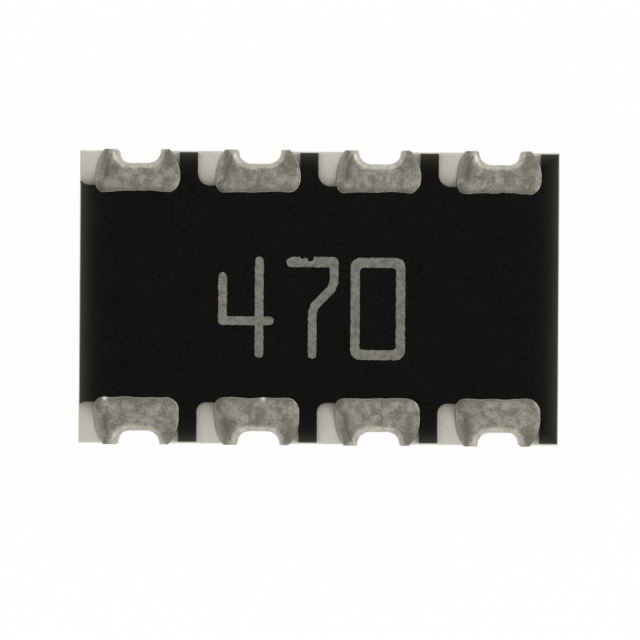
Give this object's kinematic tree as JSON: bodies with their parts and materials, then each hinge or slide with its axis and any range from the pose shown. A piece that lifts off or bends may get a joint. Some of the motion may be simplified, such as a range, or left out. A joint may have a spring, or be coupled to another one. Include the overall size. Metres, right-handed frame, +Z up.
{
  "type": "chip resistor network",
  "caption": "Flat rectangular ceramic chip with a black coated top and tin-plated half-oval castellated terminals along both long sides; holds isolated thick-film resistors for surface mounting.",
  "frame": {"origin": "on the solder plane, under the middle of the chip", "axes": "+X along the rows of terminals, +Y towards the back row, +Z up from the circuit board through the marked face"},
  "size_m": [0.005, 0.0032, 0.0006],
  "materials": {
    "ceramic": "fired white alumina, matt, with snapped sides",
    "tin": "matt tin plating, mottled grey",
    "overcoat": "black printed resin, semi-matt, very fine grain",
    "marking_ink": "pale grey printed ink, matt and a little uneven",
    "silver": "fired thick-film silver, matt",
    "resistor_paste": "fired resistor paste, dark grey",
    "glaze": "fired glass over the resistor film"
  },
  "bodies": {
    "root": {"substrate": "ceramic", "electrode_1": "silver", "electrode_2": "silver", "electrode_3": "silver", "electrode_4": "silver", "electrode_5": "silver", "electrode_6": "silver", "electrode_7": "silver", "electrode_8": "silver", "resistor_film_1": "resistor_paste", "resistor_film_2": "resistor_paste", "resistor_film_3": "resistor_paste", "resistor_film_4": "resistor_paste", "glass_coat_1": "glaze", "glass_coat_2": "glaze", "glass_coat_3": "glaze", "glass_coat_4": "glaze", "overcoat": "overcoat", "terminal_1": "tin", "terminal_2": "tin", "terminal_3": "tin", "terminal_4": "tin", "terminal_5": "tin", "terminal_6": "tin", "terminal_7": "tin", "terminal_8": "tin"}
  },
  "joints": []
}
